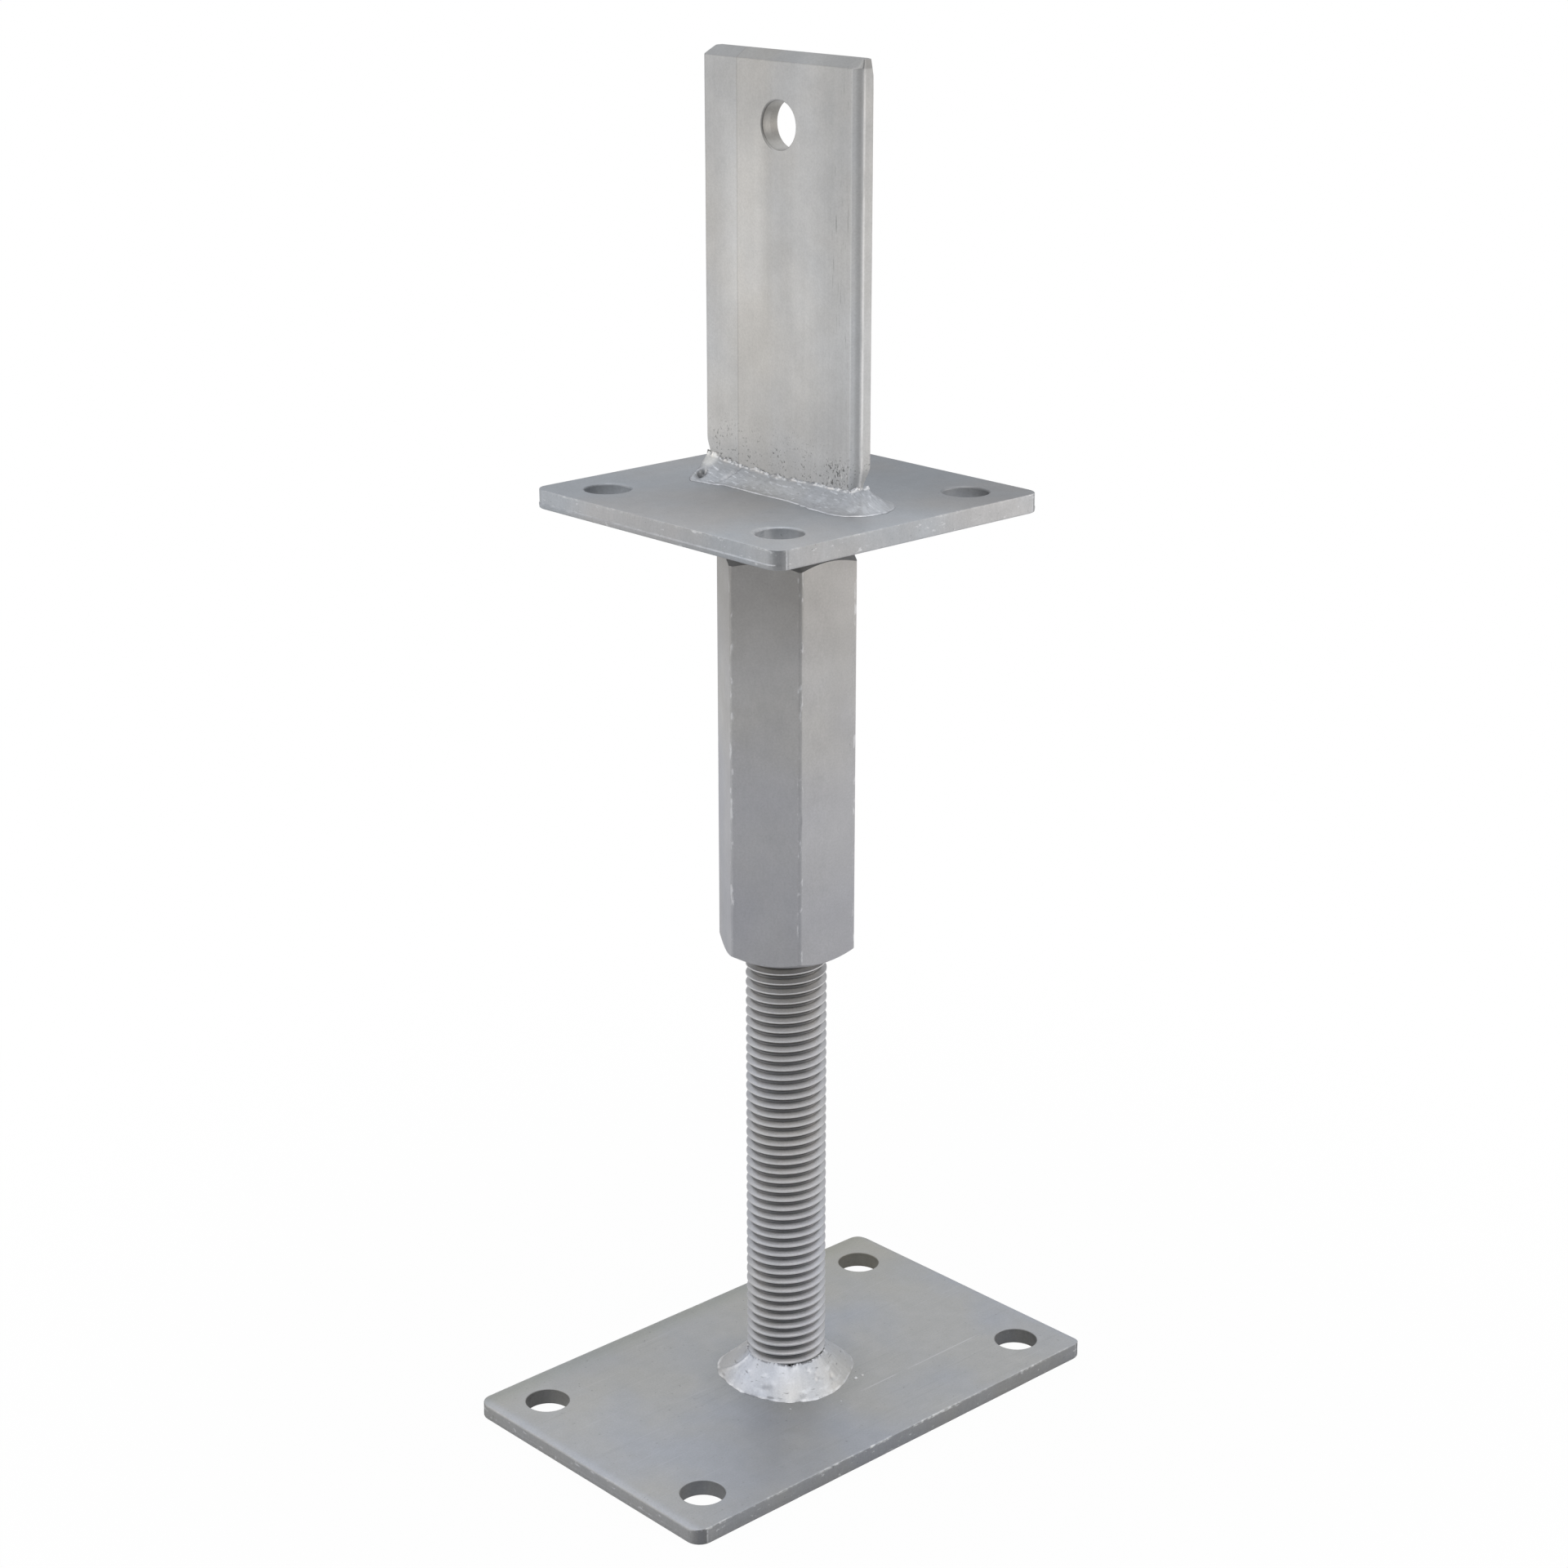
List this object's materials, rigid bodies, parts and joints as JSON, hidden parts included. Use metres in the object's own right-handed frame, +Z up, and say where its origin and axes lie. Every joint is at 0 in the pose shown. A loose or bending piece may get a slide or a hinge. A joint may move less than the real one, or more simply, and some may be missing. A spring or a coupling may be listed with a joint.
{
  "type": "adjustable post base",
  "caption": "Height-adjustable steel post base: bolted base plate, threaded rod, hexagon sleeve, square head plate and an upright slotted-in blade with a dowel hole.",
  "frame": {"origin": "centre of the base plate's underside", "axes": "+Z up along the rod, +X along the base plate's long side, +Y along the blade's width"},
  "size_m": [0.16, 0.1, 0.3976],
  "materials": {
    "zinc_coated_plate": "hot-dip zinc coated plate, satin grey",
    "zinc_coated_thread": "zinc coated rolled thread, satin grey",
    "zinc_coated_weld": "zinc coated weld bead, brighter and smoother",
    "zinc_coated_bar": "zinc coated drawn bar, satin grey",
    "zinc_coated_blade": "zinc coated flat bar, light satin grey"
  },
  "bodies": {
    "base": {"base_plate": "zinc_coated_plate", "threaded_rod": "zinc_coated_thread", "rod_weld": "zinc_coated_weld"},
    "head": {"head_plate": "zinc_coated_plate", "blade": "zinc_coated_blade", "blade_weld": "zinc_coated_weld", "pivot_pin": "zinc_coated_bar"},
    "sleeve": {"hex_sleeve": "zinc_coated_bar"}
  },
  "joints": [
    {"name": "head_lift", "type": "slide", "parent": "base", "child": "head", "axis": [0, 0, 1], "range_m": [-0.07, 0.006]},
    {"name": "sleeve_turn", "type": "hinge", "parent": "head", "child": "sleeve", "pos_m": [0, 0, 0.263], "axis": [0, 0, 1], "range_deg": [-8405, 725]}
  ],
  "couplings": [
    {"joint": "sleeve_turn", "follows": "head_lift", "rad_per_m": 2094.4}
  ]
}
